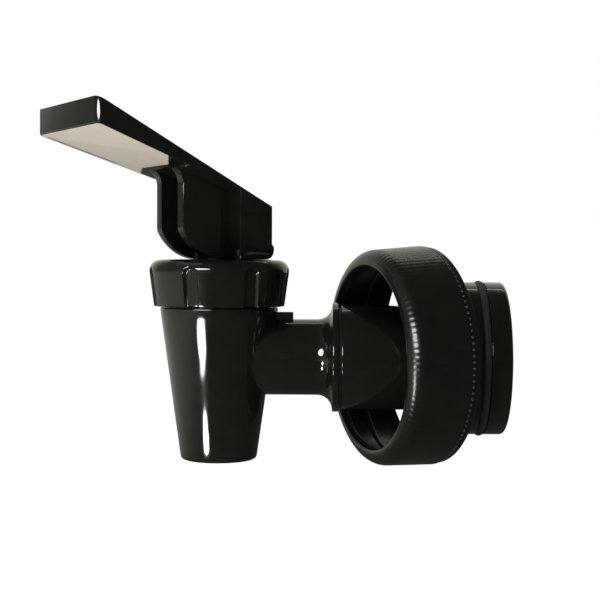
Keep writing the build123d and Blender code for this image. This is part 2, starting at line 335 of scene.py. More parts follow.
# %% [markdown]
# ## Finishes
# Most of the tap is black plastic: polished mouldings, a satin collar, and the beads at the ends of the
# collar's ribs, whose lighter grey is a painted sheen for their glints. A beige plate, grey plastic, rubber,
# silicone and steel come with it. One recipe serves them all, because they differ only in colour, gloss and
# how uneven their skin is.

# %% Finish recipe
DUST_COLOUR = (0.35, 0.34, 0.31)


def blend_colour(tree, mask, low, high):
    """Mix of two colours by a mask. Each is a colour, or the output of another node."""
    mix = node(tree, "ShaderNodeMix", data_type="RGBA")
    for socket, colour in (("A", low), ("B", high)):
        if isinstance(colour, tuple):
            mix.inputs[socket].default_value = (*colour, 1)
        else:
            tree.links.new(colour, mix.inputs[socket])
    tree.links.new(mask, mix.inputs["Factor"])
    return mix.outputs["Result"]


def make_finish(name, dark, pale, gloss, wave_mm=0.0, wave_size=90.0, grain_mm=0.0, grain_size=1800.0,
                dust=0.0, **shader):
    """Material with a clouded colour and gloss, a wavy or grainy skin and a little dust."""
    material = bpy.data.materials.new(name)
    material.use_nodes = True
    tree = material.node_tree
    bsdf = tree.nodes["Principled BSDF"]
    for socket, value in shader.items():
        bsdf.inputs[socket].default_value = value
    skin = node(tree, "ShaderNodeGroup", node_tree=mould_skin)
    skin.inputs["Wave size"].default_value = wave_size
    rough = node(tree, "ShaderNodeMapRange")
    rough.inputs["To Min"].default_value = gloss[0]
    rough.inputs["To Max"].default_value = gloss[1]
    tree.links.new(skin.outputs["Cloud"], rough.inputs["Value"])
    tree.links.new(rough.outputs["Result"], bsdf.inputs["Roughness"])
    colour = blend_colour(tree, skin.outputs["Cloud"], dark, pale)
    if dust:
        specks = node(tree, "ShaderNodeGroup", node_tree=dust_specks, Share=dust)
        colour = blend_colour(tree, specks.outputs["Dust"], colour, DUST_COLOUR)
    tree.links.new(colour, bsdf.inputs["Base Color"])
    normal = None
    if wave_mm:
        normal = node(tree, "ShaderNodeBump", Distance=wave_mm * MM)
        tree.links.new(skin.outputs["Wave"], normal.inputs["Height"])
    if grain_mm:
        place = node(tree, "ShaderNodeTexCoord")
        grain = node(tree, "ShaderNodeTexNoise", Scale=grain_size, Detail=2.0)
        pit = node(tree, "ShaderNodeBump", Distance=grain_mm * MM)
        tree.links.new(place.outputs["Object"], grain.inputs["Vector"])
        tree.links.new(grain.outputs["Fac"], pit.inputs["Height"])
        if normal:
            tree.links.new(normal.outputs["Normal"], pit.inputs["Normal"])
        normal = pit
    if normal:
        tree.links.new(normal.outputs["Normal"], bsdf.inputs["Normal"])
    return material


print("recipe: make_finish")

# %% Finishes of the tap
polished_black = make_finish("polished_black", (0.004, 0.004, 0.003), (0.009, 0.009, 0.007), (0.05, 0.11),
                             wave_mm=0.14, IOR=1.5)
satin_black = make_finish("satin_black", (0.004, 0.004, 0.003), (0.008, 0.008, 0.006), (0.20, 0.30),
                          grain_mm=0.006, dust=0.004, IOR=1.46)
# The bead ends' lighter grey is a painted sheen that stands in for their glints, and IOR 1.8 brightens those
# glints beyond plastic's 1.5.
bead_sheen_black = make_finish("bead_sheen_black", (0.03, 0.03, 0.027), (0.06, 0.06, 0.055), (0.16, 0.24),
                           grain_mm=0.004, IOR=1.8)
plate_beige = make_finish("plate_beige", (0.45, 0.40, 0.335), (0.54, 0.485, 0.41), (0.38, 0.55),
                          grain_mm=0.01, IOR=1.46)
ring_rubber = make_finish("ring_rubber", (0.010, 0.010, 0.010), (0.022, 0.022, 0.021), (0.55, 0.75),
                          grain_mm=0.03, IOR=1.52)
cup_silicone = make_finish("cup_silicone", (0.70, 0.69, 0.65), (0.80, 0.79, 0.76), (0.35, 0.5),
                           grain_mm=0.01, IOR=1.41)
stem_grey = make_finish("stem_grey", (0.03, 0.03, 0.03), (0.05, 0.05, 0.05), (0.3, 0.42),
                        wave_mm=0.1, IOR=1.5)
drawn_steel = make_finish("drawn_steel", (0.52, 0.52, 0.53), (0.66, 0.66, 0.67), (0.2, 0.36),
                          grain_mm=0.006, grain_size=5000.0, Metallic=1.0)
print("finishes:", [m.name for m in (polished_black, satin_black, bead_sheen_black, plate_beige, ring_rubber,
                                     cup_silicone, stem_grey, drawn_steel)])

# %% [markdown]
# ## Spout, chamber and shank
# On the real tap these are one moulding: a cone that narrows to the spout, a shank at its side with a flange,
# and a small tab on top. Two turned solids and a block are joined, and the valve's chamber, the outlet and
# the inlet are cut out of them. A cone put together from hand-placed faces would show its seams in the gloss.

# %% Tap body
body_low, body_high = (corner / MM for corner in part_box("tap_body"))
SPOUT_R = 9.8
SHOULDER_Z, SHOULDER_R = 12.85, 15.37
NECK_R = 14.2
SHANK_R, FLANGE_R, TAIL_R = 9.82, 14.15, 6.5
FLANGE_BACK = stem_x + 31.1
FLANGE_FRONT = FLANGE_BACK - 1.7
FLANGE_FILLET = 3.8
BODY_RUN = 2.5


def make_cone():
    outline = soften([
        (body_low.z, 0, 0), (body_low.z, SPOUT_R, 1.1), (SHOULDER_Z, SHOULDER_R, 0.4),
        (SHOULDER_Z, NECK_R, 0), (body_high.z, NECK_R, 0), (body_high.z, 0, 0)])
    return turned("tap_moulding", divide(outline, BODY_RUN), stem_frame)


def make_shank():
    outline = soften([
        (stem_x, 0, 0), (stem_x, SHANK_R, 0), (FLANGE_FRONT, SHANK_R, FLANGE_FILLET),
        (FLANGE_FRONT, FLANGE_R, 0.35), (FLANGE_BACK, FLANGE_R, 0.25), (FLANGE_BACK, TAIL_R, 0),
        (body_high.x, TAIL_R, 0.4), (body_high.x, 0, 0)])
    return turned("shank", divide(outline, BODY_RUN), shank_frame)


print(f"flange from x {FLANGE_FRONT:.1f} to {FLANGE_BACK:.1f} mm")

# %% Tab and hollows of the body
TAB_LOW, TAB_HIGH = (stem_x + 10, -2, 5), (stem_x + 19.3, 2, 11.7)
TAB_EDGE = 0.3
OUTLET_R, SEAT_R = 7.76, 5.5
SEAT_BACK, SEAT_Z = -9.2, -5.5
SEAT_RIM_R, CHAMBER_FLOOR, CHAMBER_FLOOR_R = 6.9, -7.0, 9.8
BORE_R, CHAMBER_R = 4.4, 11.2
BORE_RUN = 4
OVER = 0.5


def round_edges(bm, edges, radius, segments=3):
    bmesh.ops.bevel(bm, geom=edges, offset=radius, segments=segments, profile=0.5, affect="EDGES")


def make_tab():
    bm = bmesh.new()
    bmesh.ops.create_cube(bm, size=1)
    for v in bm.verts:
        v.co = [high if c > 0 else low for c, low, high in zip(v.co, TAB_LOW, TAB_HIGH)]
    round_edges(bm, bm.edges[:], TAB_EDGE)
    return outward(drawn_piece("tab", bm, Matrix.Scale(MM, 4)))


def make_inside():
    """Outlet, valve seat and chamber."""
    mouth, top = body_low.z - OVER, body_high.z + OVER
    outline = soften([
        (mouth, 0, 0), (mouth, OUTLET_R, 0), (SEAT_BACK, SEAT_R, 0), (SEAT_Z, SEAT_R, 0),
        (SEAT_Z, SEAT_RIM_R, 0), (CHAMBER_FLOOR, SEAT_RIM_R, 0), (CHAMBER_FLOOR, CHAMBER_FLOOR_R, 0),
        (SHOULDER_Z, CHAMBER_R, 0), (top, CHAMBER_R, 0), (top, 0, 0)])
    return turned("inside", divide(outline, BODY_RUN), stem_frame, steps=128)


def make_inlet():
    end = body_high.x + OVER
    outline = soften([(stem_x, 0, 0), (stem_x, BORE_R, 0), (end, BORE_R, 0), (end, 0, 0)])
    return turned("inlet", divide(outline, BORE_RUN), shank_frame, steps=96)


def make_tap_body():
    body = combine(make_cone(), make_shank(), "UNION")
    combine(body, make_tab(), "UNION")
    combine(body, make_inside(), "DIFFERENCE")
    return combine(body, make_inlet(), "DIFFERENCE")


dress(clean(make_tap_body()), "tap", "black_plastic", polished_black, "tap_body")

# %% [markdown]
# ## Bonnet
# The bonnet is a screwed cap with seven arch-topped finger grooves. The grooves are let into the turned cap
# point by point: the distance from a point to the arch's edge says how deep it lies, which rounds the
# groove's rim as a mould does. Cutting them with blocks would leave knife edges.

# %% Bonnet with grooves
cap_low, cap_high = (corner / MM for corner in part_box("bonnet"))
CAP_BASE_R, CAP_BORE, CAP_CEILING = 16.9, 14.5, 21.0
CAP_SKIN = 0.5
CAP_SLOPE = tan(radians(7.8))
CAP_CROWN = 2.8
STEM_HOLE, POCKET_R, POCKET_TOP = 3.06, 7.2, 22.6
GROOVE_COUNT, GROOVE_PHASE, GROOVE_STEPS = 7, radians(-109.0), 72
GROOVE_HALF, GROOVE_DEPTH, GROOVE_RIM = 2.05, 0.9, 0.55
GROOVE_TOP = 23.2
CAP_RUN = 0.3


def groove_depth(along, radius, angle):
    """How far a point of the cap's outside is let in by the nearest groove."""
    if radius < CAP_BASE_R - CAP_SKIN:
        return 0
    pitch = 2 * pi / GROOVE_COUNT
    off = (angle - GROOVE_PHASE + pitch / 2) % pitch - pitch / 2
    side = abs(off) * radius
    centre = GROOVE_TOP - GROOVE_HALF
    inside = GROOVE_HALF - (side if along < centre else hypot(side, along - centre))
    share = min(1, max(0, inside / GROOVE_RIM))
    return GROOVE_DEPTH * share * share * (3 - 2 * share)


def make_bonnet():
    top_r = CAP_BASE_R + (cap_high.z - cap_low.z) * CAP_SLOPE
    outline = divide(soften([
        (cap_low.z, CAP_BORE, 0.3), (cap_low.z, CAP_BASE_R, 0.35), (cap_high.z, top_r, CAP_CROWN),
        (cap_high.z, STEM_HOLE, 0.3), (POCKET_TOP, STEM_HOLE, 0), (POCKET_TOP, POCKET_R, 0),
        (CAP_CEILING, POCKET_R, 0), (CAP_CEILING, CAP_BORE, 0)]), CAP_RUN)
    return turned("bonnet_cap", outline, stem_frame, steps=GROOVE_COUNT * GROOVE_STEPS, shrink=groove_depth)


dress(make_bonnet(), "tap", "black_plastic", polished_black, "bonnet", sharp=40)

# %% [markdown]
# ## Lever
# The lever is a wedge-shaped paddle with a heel block behind the stem and a channelled neck below it, which
# ends in a rolling foot. Block and neck are drawn as side views and given their width, and their edges are
# rounded before they are joined, so that every edge catches the light as on a moulding.

# %% Lever outlines
PADDLE_END, TOP_OVER_PIN, ROOT_T = 43.4, 6.54, 0.64
TOP_RISE, UNDER_RISE = tan(radians(23.66)), tan(radians(17.1))
HALF_AT_STEM, TIP_SPREAD = 11.35, 5.05
CRISP = radians(25)


def top_z(along):
    return pin_z + TOP_OVER_PIN + along * TOP_RISE


def under_z(along):
    return pin_z + TOP_OVER_PIN - ROOT_T + along * UNDER_RISE


def half_width(along):
    return HALF_AT_STEM + along * TIP_SPREAD / PADDLE_END


def both_sides(inset):
    """Width functions of the tapered plan, set in from its sides."""
    return (lambda along: half_width(along) - inset, lambda along: inset - half_width(along))


def straight(half):
    return (lambda along: half, lambda along: -half)


def prism(ends):
    """Closed bmesh between two outlines with as many points each."""
    bm = bmesh.new()
    first, last = ([bm.verts.new(point) for point in end] for end in ends)
    bm.faces.new(first)
    bm.faces.new(last)
    for i in range(len(first)):
        n = (i + 1) % len(first)
        bm.faces.new((first[i], first[n], last[n], last[i]))
    bmesh.ops.recalc_face_normals(bm, faces=bm.faces)
    return bm


def middle(edge):
    return (edge.verts[0].co + edge.verts[1].co) / 2


def side_solid(name, outline, widths, edge=0, wide_edges=(), buried=None):
    """Solid from an (along, z) outline between two widths, which may change along it, with rounded edges.
    wide_edges holds (test, radius) pairs for the edges that are rounded more. buried tells of the edges
    that end up inside another solid and stay as they are."""
    bm = prism([[(along, width(along), z) for along, z in outline] for width in widths])
    for test, radius in wide_edges:
        round_edges(bm, [e for e in bm.edges if test(middle(e))], radius, segments=6)
    crisp = [e for e in bm.edges if e.calc_face_angle(0) > CRISP]
    if buried:
        crisp = [e for e in crisp if not buried(middle(e))]
    if edge:
        round_edges(bm, crisp, edge)
    return outward(drawn_piece(name, bm, lever_frame))


print(f"paddle: {PADDLE_END} mm out from the stem, {2 * half_width(PADDLE_END):.1f} mm wide at its tip")

# %% Block and neck
HEEL, HEEL_LIP, LIP_TOP, LIP_EDGE = -9.6, 0.7, 29.2, 28.5
BLOCK_FRONT, FOOT_Z = 1.1, 25.22
NEAR_CORNER, FAR_CORNER, HEEL_ROUND, BLOCK_EDGE = 2.2, 1.85, 2.6, 0.25
NECK_HALF, NECK_EDGE = 6.6, 0.3
NECK_FRONT, NECK_FLARE, NECK_SINK = 15.0, 4.6, 0.5
NECK_CHIN, FLARE_LAP = 1.2, 0.02
FOOT_BACK, FOOT_BACK_RISE = 1.8, 0.6
CAM_RATE, CAM_SWEEP, CAM_STEPS = 3.5, radians(61.0), 16
FLARE_STEPS = 8
CLOSE, HIDDEN = 0.01, 0.05


def make_heel_block():
    lip = HEEL - HEEL_LIP
    outline = [
        (PADDLE_END, top_z(PADDLE_END)), (HEEL, top_z(HEEL)), (HEEL, LIP_TOP), (lip, LIP_EDGE),
        (lip, FOOT_Z), (BLOCK_FRONT, FOOT_Z), (BLOCK_FRONT, under_z(BLOCK_FRONT)),
        (PADDLE_END, under_z(PADDLE_END))]
    tip_z = (top_z(PADDLE_END) + under_z(PADDLE_END)) / 2

    def at_tip(p):
        return abs(p.x - PADDLE_END) < CLOSE and abs(p.z - tip_z) < CLOSE

    rounder = [
        (lambda p: at_tip(p) and p.y > 0, NEAR_CORNER),
        (lambda p: at_tip(p) and p.y < 0, FAR_CORNER),
        (lambda p: abs(p.x - lip) < CLOSE and abs(p.z - FOOT_Z) < CLOSE and abs(p.y) < CLOSE, HEEL_ROUND)]
    return side_solid("paddle_lever", outline, both_sides(0), BLOCK_EDGE, rounder)


def cam_point(angle):
    """Point of the rolling foot that meets the bonnet when the lever has tilted by an angle."""
    drop = pin_z - FOOT_Z + CAM_RATE * angle
    return drop * sin(angle) + CAM_RATE * cos(angle), pin_z - drop * cos(angle) + CAM_RATE * sin(angle)


def make_neck():
    foot = [cam_point(CAM_SWEEP * k / CAM_STEPS) for k in range(CAM_STEPS + 1)]
    outline = foot + [(NECK_FRONT, foot[-1][1] + NECK_CHIN)]
    flare_end = NECK_FRONT + NECK_FLARE
    flare_z = under_z(flare_end) + FLARE_LAP
    for k in range(FLARE_STEPS + 1):
        turn = pi / 2 * k / FLARE_STEPS
        outline.append((flare_end - NECK_FLARE * cos(turn), flare_z - NECK_FLARE * (1 - sin(turn))))
    outline += [
        (flare_end, flare_z + NECK_SINK), (0, top_z(0) - NECK_SINK), (0, FOOT_Z + FOOT_BACK_RISE),
        (FOOT_BACK, FOOT_Z)]
    buried = lambda p: p.x < BLOCK_FRONT or p.z > under_z(p.x) - HIDDEN
    return side_solid("neck", outline, straight(NECK_HALF), NECK_EDGE, buried=buried)


print(f"foot: {CAM_RATE} mm of lift for each radian of tilt")

# %% [markdown]
# ## Cuts in the lever and its plate
# A shallow recess below the paddle takes a thin beige plate, and a channel, the pin's sockets, a seam at each
# side and two small marks are cut after it. Each cutter runs a little past the faces it leaves by, because
# two faces in one plane make a cut fail. The plate is drawn as a plan and given its thickness, and recess and
# plate share that plan, so that they always fit.

# %% Channel, sockets and marks
CHANNEL_HALF, CHANNEL_BACK, CHANNEL_PAST = 4.0, -4.5, 0.4
CHANNEL_ROOF, CHANNEL_SKIN = 1.75, 0.03
PIN_SOCKET_R, PIN_SOCKET_HALF = 1.56, 5.58
SEAM_BACK, SEAM_FRONT, SEAM_LOW, SEAM_HIGH = -8.3, -0.5, 36.5, 36.9
SEAM_DEPTH, SEAM_PAST = 0.25, 2
PIP_R, PIP_DEPTH, PIP_PAST, PIP_STRETCH = 0.5, 0.8, 1, 1.8
PIP_Y, PIP_Z = 8, 37.8


def make_channel():
    meet = (under_z(0) - top_z(0) + CHANNEL_ROOF) / (TOP_RISE - UNDER_RISE)
    front = NECK_FRONT + NECK_FLARE + CHANNEL_PAST
    outline = [
        (CHANNEL_BACK, 0), (CHANNEL_BACK, top_z(CHANNEL_BACK) - CHANNEL_ROOF),
        (meet, under_z(meet) + CHANNEL_SKIN), (front, under_z(front) + CHANNEL_SKIN), (front, 0)]
    return side_solid("channel", outline, straight(CHANNEL_HALF))


def drilled(name, start, end, radius, place, steps):
    """Round cutter along the local X axis."""
    outline = [Vector(corner) for corner in ((start, 0), (start, radius), (end, radius), (end, 0))]
    return turned(name, outline, place, steps=steps)


def make_sockets():
    return drilled("sockets", -PIN_SOCKET_HALF, PIN_SOCKET_HALF, PIN_SOCKET_R, pin_frame, steps=48)


def make_seam(side):
    """Thin mark along one side of the block."""
    outline = [(SEAM_BACK, SEAM_LOW), (SEAM_FRONT, SEAM_LOW), (SEAM_FRONT, SEAM_HIGH), (SEAM_BACK, SEAM_HIGH)]
    deep = both_sides(SEAM_DEPTH)[0]
    widths = (lambda along: side * deep(along), lambda along: side * (deep(along) + SEAM_PAST))
    return side_solid("seam", outline, widths)


def make_pip(side):
    """Small oval mark on the block's front."""
    place = Matrix.Translation((BLOCK_FRONT, side * PIP_Y, PIP_Z)) @ Matrix.Diagonal((1, 1, PIP_STRETCH, 1))
    return drilled("pip", -PIP_DEPTH, PIP_PAST, PIP_R, lever_frame @ place, steps=24)


print(f"channel {2 * CHANNEL_HALF} mm wide, sockets {2 * PIN_SOCKET_R:.2f} mm across")

# %% Plate and recess
LABEL_BACK, LABEL_INSET, LABEL_T, LABEL_GAP = 19.0, 0.5, 0.4, 0.05
LABEL_SIDE_BACK, LABEL_FAR_BACK = 23.4, 16.2
LABEL_NECK_HALF, LABEL_NECK_FAR = 6.2, 0.7
LABEL_CORNER, LABEL_EDGE = 1.15, 0.12
RECESS_PAST = -1


def label_plan(grow):
    """Plan of the plate as (along, y) points, with rounded front corners and a slanting rear end."""
    front = PADDLE_END - LABEL_INSET + grow
    rim = lambda along: half_width(along) - LABEL_INSET + grow
    turns = [pi / 2 * k / ARC_STEPS for k in range(ARC_STEPS, -1, -1)]
    half = [(front - LABEL_CORNER * (1 - sin(a)), rim(front) - LABEL_CORNER * (1 - cos(a))) for a in turns]
    back = LABEL_BACK - grow
    far = LABEL_FAR_BACK - grow
    rear = [
        (LABEL_SIDE_BACK - grow, rim(LABEL_SIDE_BACK)), (back, LABEL_NECK_HALF + grow),
        (back, -LABEL_NECK_HALF - LABEL_NECK_FAR), (far, -rim(far))]
    return half + rear + [(along, -y) for along, y in reversed(half)]


def plan_solid(name, plan, low, high, edge=0):
    """Solid over a plan, between two heights above the paddle's underside, with its lower edges rounded."""
    bm = prism([[(along, y, under_z(along) + height) for along, y in plan] for height in (low, high)])
    if edge:
        bm.faces.ensure_lookup_table()
        round_edges(bm, bm.faces[0].edges[:], edge, segments=2)
    return outward(drawn_piece(name, bm, lever_frame))


def make_label_recess():
    return plan_solid("recess", label_plan(LABEL_GAP), RECESS_PAST, LABEL_T + LABEL_GAP)


def make_label_plate():
    return plan_solid("label_plate", label_plan(0), 0, LABEL_T, LABEL_EDGE)


print(f"plate {LABEL_T} mm thick, {len(label_plan(0))} points round its plan")

# %% Lever
def make_lever():
    lever = combine(make_heel_block(), make_label_recess(), "DIFFERENCE")
    combine(lever, make_neck(), "UNION")
    cutters = [make_channel(), make_sockets()]
    cutters += [make(side) for make in (make_seam, make_pip) for side in (1, -1)]
    for cutter in cutters:
        combine(lever, cutter, "DIFFERENCE")
    return lever


dress(make_lever(), "lever", "black_plastic", polished_black, "lever", sharp=24)
dress(make_label_plate(), "lever", "label", plate_beige, "lever_label")

# %% Line on the plate
LINE_INSET, LINE_W, LINE_PROUD, LINE_SUNK = 1.3, 0.6, 0.03, 0.1
LINE_SHORT = 2


def make_plate_line():
    """Thin dark line along the plate's far edge."""
    ends = (LABEL_SIDE_BACK, PADDLE_END - LINE_SHORT)
    outline = [(along, under_z(along) - LINE_PROUD) for along in ends]
    outline += [(along, under_z(along) + LINE_SUNK) for along in reversed(ends)]
    outer = both_sides(LINE_INSET)[1]
    inner = both_sides(LINE_INSET + LINE_W)[1]
    return side_solid("plate_line", outline, (outer, inner))


dress(make_plate_line(), "lever", "label", stem_grey)

# %% [markdown]
# ## Neck adaptor and its sealing ring
# Behind the flange a hollow sleeve leads to the plug that goes into the container's neck. It is round all
# along, so one outline makes it, with the ring's groove and the rounded end of the plug. The ring is turned
# too.

# %% Adaptor and ring
sleeve_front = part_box("adaptor_sleeve")[0].x / MM
plug_low, plug_high = (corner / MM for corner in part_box("neck_adaptor"))
ring_low, ring_high = (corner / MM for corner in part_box("plug_o_ring"))
SLEEVE_R, SLEEVE_BORE, SLEEVE_WALL = 13.5, 11.4, 4.0
PLUG_R, PLUG_BORE = 19.66, 16.86
TAIL_HOLE = 6.8
ADAPTOR_RUN = 3
RING_PLAY, RING_STEPS = 0.02, 20
seat_front = plug_low.x
sleeve_floor = sleeve_front + SLEEVE_WALL
ring_mid = (ring_low.x + ring_high.x) / 2
ring_wire = (ring_high.x - ring_low.x) / 2
ring_r = ring_high.z - ring_wire


def make_adaptor():
    slot = ring_wire + RING_PLAY
    floor = ring_r - ring_wire
    outline = soften([
        (sleeve_front, TAIL_HOLE, 0), (sleeve_front, SLEEVE_R, 0.3), (seat_front, SLEEVE_R, 1.0),
        (seat_front, plug_high.z, 0.5), (0, plug_high.z, 0.5), (0, PLUG_R, 0.3),
        (ring_mid - slot, PLUG_R, 0.15), (ring_mid - slot, floor, 0), (ring_mid + slot, floor, 0),
        (ring_mid + slot, PLUG_R, 0.15), (plug_high.x, PLUG_R, 1.2), (plug_high.x, PLUG_BORE, 0.6),
        (0, PLUG_BORE, 0), (0, SLEEVE_BORE, 0.3), (sleeve_floor, SLEEVE_BORE, 0),
        (sleeve_floor, TAIL_HOLE, 0)])
    return turned("adaptor_moulding", divide(outline, ADAPTOR_RUN), shank_frame)


def make_ring():
    turns = [2 * pi * k / RING_STEPS for k in range(RING_STEPS)]
    outline = [Vector((ring_mid + ring_wire * cos(a), ring_r + ring_wire * sin(a))) for a in turns]
    return turned("sealing_ring", outline, shank_frame)


dress(make_adaptor(), "tap", "black_plastic", polished_black, "adaptor_sleeve", "neck_adaptor")
dress(make_ring(), "tap", "seal_rubber", ring_rubber, "plug_o_ring")

# %% [markdown]
# ## Screw collar
# The collar hangs loose round the sleeve. Its outside has fine ribs, deeper where they start at the front and
# ending in a row of round beads, with a plain band behind them. Its inside has a coarse thread. The ribs are
# let into the turned form point by point, the beads are small balls set in a step behind them, and the thread
# is a ridge that is swept along a helix.

# %% Collar with ribs
COLLAR_LEN, MOUTH_R, LIP_T = 17.5, 23.5, 2.4
COLLAR_FRONT_R, COLLAR_REAR_R, COLLAR_BORE = 27.4, 28.4, 25.6
COLLAR_NOSE, COLLAR_RUN = 3.4, 1.2
RIB_COUNT, RIB_STEPS, RIB_DEPTH, RIB_SHARPNESS = 116, 8, 0.025, 1.5
RIB_START, RIB_END = 0.3, 16.3
RIB_SKIN, RIB_MARGIN = 0.2, 0.01
NOTCH_DEPTH, NOTCH_LEN = 0.07, 3.6
BEAD_R, BEAD_AT = 0.42, 15.7
BED_STEP, BAND_STEP = 0.05, 0.35
bed_front = BEAD_AT - BEAD_R


def collar_r(along):
    """Radius of the collar's outside over the crests of its ribs."""
    return COLLAR_FRONT_R + (COLLAR_REAR_R - COLLAR_FRONT_R) / COLLAR_LEN * along


def rib_depth(along, radius, angle):
    """How far a point of the collar's outside lies below the crest of its rib."""
    if radius < COLLAR_BORE + RIB_SKIN or not RIB_START < along < RIB_END + RIB_MARGIN:
        return 0
    if along > bed_front:
        return BEAD_R
    fade = min(1, along - RIB_START)
    notch = NOTCH_DEPTH * max(0, 1 - (along - RIB_START) / NOTCH_LEN)
    valley = 0.5 - 0.5 * cos(angle * RIB_COUNT)
    return (RIB_DEPTH + notch) * fade * valley ** RIB_SHARPNESS


def make_collar():
    bed_r = collar_r(bed_front)
    end_r = collar_r(RIB_END)
    band_r = end_r - BAND_STEP
    outline = soften([
        (0, MOUTH_R, 0.5), (0, COLLAR_FRONT_R, COLLAR_NOSE), (bed_front, bed_r, 0),
        (bed_front + BED_STEP, bed_r, 0), (RIB_END, end_r, 0), (RIB_END, band_r, 0),
        (COLLAR_LEN, band_r, 0.3), (COLLAR_LEN, COLLAR_BORE, 0.4), (LIP_T, COLLAR_BORE, 0.4),
        (LIP_T, MOUTH_R, 0.4)])
    steps = RIB_COUNT * RIB_STEPS
    return turned("collar_ring", divide(outline, COLLAR_RUN), collar_frame, steps=steps, shrink=rib_depth)


def make_rib_ends():
    """A round bead at the end of each rib."""
    middle_r = collar_r(BEAD_AT) - BEAD_R
    bm = bmesh.new()
    for k in range(RIB_COUNT):
        angle = 2 * pi * k / RIB_COUNT
        place = Matrix.Translation((BEAD_AT, -middle_r * sin(angle), middle_r * cos(angle)))
        bmesh.ops.create_uvsphere(bm, u_segments=12, v_segments=8, radius=BEAD_R, matrix=place)
    return drawn_piece("rib_ends", bm, collar_frame)


dress(make_collar(), "collar", "black_knurled", satin_black, "screw_collar", sharp=50)
# The beads carry the lighter grey that paints a sheen on the ends of the ribs.
dress(make_rib_ends(), "collar", "black_knurled", bead_sheen_black, sharp=60)

# %% Collar thread
THREAD_PITCH, THREAD_TURNS, THREAD_START = 6.0, 1.5, 4.6
THREAD_CREST, THREAD_FOOT, THREAD_TOP, THREAD_SINK = 0.3, 1.8, 0.7, 0.05
THREAD_STEPS, THREAD_FADE = 160, 12


def make_thread():
    """Ridge on the bore, with a trapezium section that fades out at both ends."""
    rings = []
    for k in range(THREAD_STEPS + 1):
        share = k / THREAD_STEPS
        angle = 2 * pi * THREAD_TURNS * share
        height = THREAD_CREST * min(1, THREAD_FADE * share, THREAD_FADE * (1 - share))
        centre = THREAD_START + THREAD_PITCH * THREAD_TURNS * share
        section = (
            (-THREAD_FOOT, -THREAD_SINK), (-THREAD_TOP, height), (THREAD_TOP, height),
            (THREAD_FOOT, -THREAD_SINK))
        ring = []
        for width, rise in section:
            r = COLLAR_BORE - rise
            ring.append(collar_frame @ Vector((centre + width / 2, -r * sin(angle), r * cos(angle))))
        rings.append(ring)
    return swept("collar_thread", rings)


dress(make_thread(), "collar", "black_knurled", satin_black, sharp=50)

# %% [markdown]
# ## Spring and silicone cup
# Inside the chamber a spring presses the stem down, and a silicone cup closes the outlet. The cup's tip holds
# the stem's foot and rises with it as it is, while the spring and the cup's thin skirt are squashed. So the
# cup is two meshes, and the skirt, like the spring, gets a mesh of its own.

# %% Spring and cup
spring_low, spring_high = (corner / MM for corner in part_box("return_spring"))
cup_low, cup_high = (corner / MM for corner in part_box("seat_cup"))
SPRING_R, WIRE_R, SPRING_TURNS = 5.0, 0.55, 7
SPRING_STEPS, WIRE_SIDES = 40, 10


def make_spring():
    steps = SPRING_TURNS * SPRING_STEPS
    low, high = spring_low.z + WIRE_R, spring_high.z - WIRE_R
    along = Vector((1, 0, 0))
    rings = []
    for k in range(steps + 1):
        angle = 2 * pi * SPRING_TURNS * k / steps
        out = Vector((0, -sin(angle), cos(angle)))
        centre = SPRING_R * out + (low + (high - low) * k / steps) * along
        turns = [2 * pi * c / WIRE_SIDES for c in range(WIRE_SIDES)]
        rings.append([stem_frame @ (centre + WIRE_R * (cos(a) * out + sin(a) * along)) for a in turns])
    return swept("closing_spring", rings)


CUP_TIP_R, CUP_TIP_H, CUP_SKIRT_R, CUP_FLOOR = 7.6, 2.3, 10.6, 1.0
CUP_RIM_T, CUP_RUN, CUP_STEPS = 1.5, 2, 96
FOOT_NECK_R, FOOT_POCKET_R = 3.3, 4.52
FOOT_POCKET_TOP, FOOT_POCKET_LOW = -0.76, -3.2
SKIRT_MOUTH_R, SKIRT_FLOOR_R = 9.3, 6.7
rim_z = cup_high.z - CUP_RIM_T
rim_r = cup_high.x - stem_x
bend_z = cup_low.z + CUP_TIP_H
floor_r = CUP_TIP_R + (CUP_SKIRT_R - CUP_TIP_R) * (CUP_FLOOR - bend_z) / (rim_z - bend_z)


def make_cup_tip():
    """Closed end of the cup, with the pocket that holds the stem's foot."""
    outline = soften([
        (cup_low.z, 0, 0), (cup_low.z, CUP_TIP_R, 0.5), (bend_z, CUP_TIP_R, 0.8), (CUP_FLOOR, floor_r, 0),
        (CUP_FLOOR, FOOT_NECK_R, 0.2), (FOOT_POCKET_TOP, FOOT_NECK_R, 0),
        (FOOT_POCKET_TOP, FOOT_POCKET_R, 0), (FOOT_POCKET_LOW, FOOT_POCKET_R, 0), (FOOT_POCKET_LOW, 0, 0)])
    return turned("silicone_cup", divide(outline, CUP_RUN), stem_frame, steps=CUP_STEPS)


def make_cup_skirt():
    """Thin wall and clamped rim of the cup."""
    outline = soften([
        (CUP_FLOOR, floor_r, 0), (rim_z, CUP_SKIRT_R, 0), (rim_z, rim_r, 0.2), (cup_high.z, rim_r, 0.2),
        (cup_high.z, SKIRT_MOUTH_R, 0.3), (CUP_FLOOR, SKIRT_FLOOR_R, 0)])
    return turned("silicone_skirt", divide(outline, CUP_RUN), stem_frame, steps=CUP_STEPS)


spring = dress(make_spring(), "tap", "steel", drawn_steel, "return_spring", sharp=60)
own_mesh(spring)
dress(make_cup_tip(), "seat", "silicone", cup_silicone, "seat_cup")
skirt = dress(make_cup_skirt(), "seat", "silicone", cup_silicone)
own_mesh(skirt)

# %% [markdown]
# ## Pieces that keep their solid
# Stem, pin, washers and nut are plain or hidden, and their solids are right as they are. They only get
# their finish.

# %% Finishes on the solids
solid_finishes = {
    "valve_stem": stem_grey, "hinge_pin": drawn_steel, "flange_washer": ring_rubber,
    "nut_washer": ring_rubber, "shank_nut": satin_black,
}
for name, finish in solid_finishes.items():
    solid = frame["nodes"][name]
    solid.data.materials.clear()
    solid.data.materials.append(finish)
print("solids with a finish:", list(solid_finishes))

